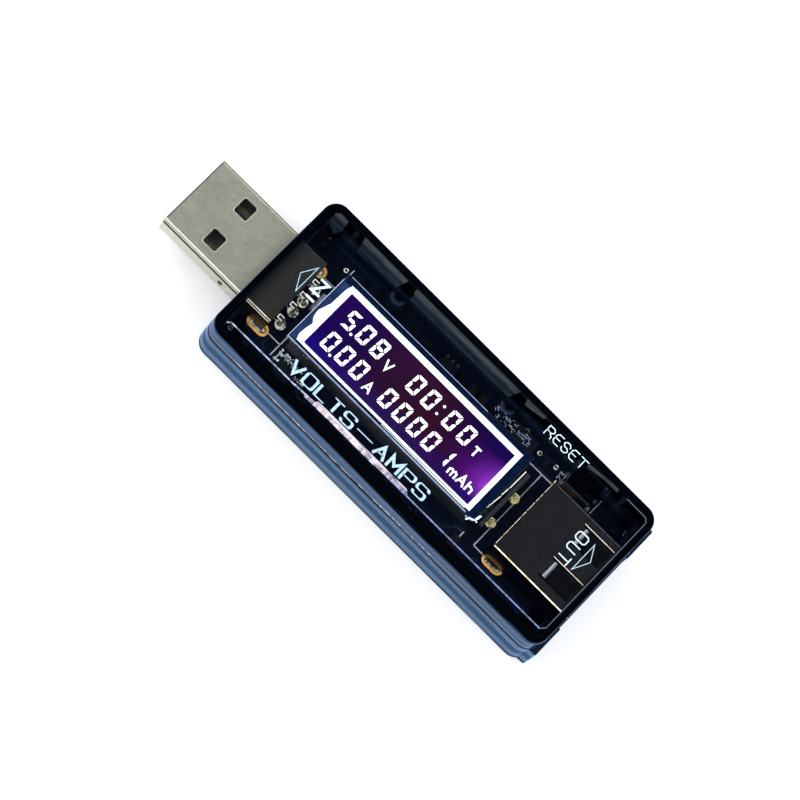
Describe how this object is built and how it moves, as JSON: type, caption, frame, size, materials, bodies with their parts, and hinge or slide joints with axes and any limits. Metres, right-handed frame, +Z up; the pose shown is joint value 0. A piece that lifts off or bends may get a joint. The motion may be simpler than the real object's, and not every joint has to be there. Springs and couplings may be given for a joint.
{
  "type": "usb power meter",
  "caption": "Inline USB power meter stick with a plug, a receptacle, a backlit display under a smoked cover and a recessed reset button.",
  "frame": {"origin": "centre of the case's flat underside", "axes": "+X along the stick towards the receptacle, -X towards the plug, +Y towards the side with the reset button, +Z up through the display"},
  "size_m": [0.0762, 0.0256, 0.0116],
  "materials": {
    "smoked_case": "translucent smoke, polished outside",
    "smoked_cover": "transparent smoke, polished",
    "board": "dark solder mask",
    "nickel_plate": "nickel plate, faintly brushed",
    "bright_nickel": "bright nickel plate",
    "gold_plate": "gold plate",
    "black_insulator": "moulded, satin",
    "solder": "bright tin solder",
    "tinned_wire": "tin plate",
    "white_reflector": "white, lit from inside",
    "light_guide": "clear acrylic, lit",
    "rear_film": "polarizing film",
    "cell_glass": "clear thin glass",
    "display_film": "violet polarizing film, glossy",
    "clear_resin": "cured clear resin",
    "elastomer": "layered carbon and silicone",
    "lamp_board": "white board",
    "lamp": "white lamp, lit",
    "chip_epoxy": "moulded epoxy",
    "resistor_black": "glazed",
    "capacitor_tan": "fired ceramic",
    "spring_steel": "bright",
    "button_black": "moulded, satin",
    "cover_ink": "pale blue screen print",
    "board_ink": "white screen print",
    "display_segment": "lit segments",
    "lit_border": "white, lit by the backlight",
    "track_copper": "copper under dark solder mask"
  },
  "bodies": {
    "meter": {"bottom_shell": "smoked_case", "top_shell": "smoked_cover", "circuit_board": "board", "plug_shell": "nickel_plate", "plug_contacts": "gold_plate", "plug_insulator": "black_insulator", "receptacle_shell": "bright_nickel", "receptacle_contacts": "gold_plate", "receptacle_insulator": "black_insulator", "solder_joints": "solder", "tinned_track": "solder", "backlight_tray": "white_reflector", "light_guide": "light_guide", "rear_polarizer": "rear_film", "lcd_rear_glass": "cell_glass", "lcd_front_glass": "cell_glass", "front_polarizer": "display_film", "lcd_end_seal": "clear_resin", "zebra_connector": "elastomer", "lamp_strip": "lamp_board", "backlight_lamps": "lamp", "lamp_pins": "tinned_wire", "microcontroller": "chip_epoxy", "amplifier_chip": "chip_epoxy", "memory_chip": "chip_epoxy", "voltage_regulator": "chip_epoxy", "chip_leads": "tinned_wire", "shunt_resistor": "resistor_black", "chip_resistors": "resistor_black", "chip_capacitors": "capacitor_tan", "switch_body": "black_insulator", "switch_frame": "bright_nickel", "switch_dome": "spring_steel", "switch_terminals": "tinned_wire"},
    "button": {"reset_button": "button_black"}
  },
  "joints": [
    {"name": "reset_press", "type": "slide", "parent": "meter", "child": "button", "axis": [0, -1, 0], "range_m": [0, 0.00025], "stiffness_N_per_m": 6000, "deforming": ["switch_dome"]}
  ]
}
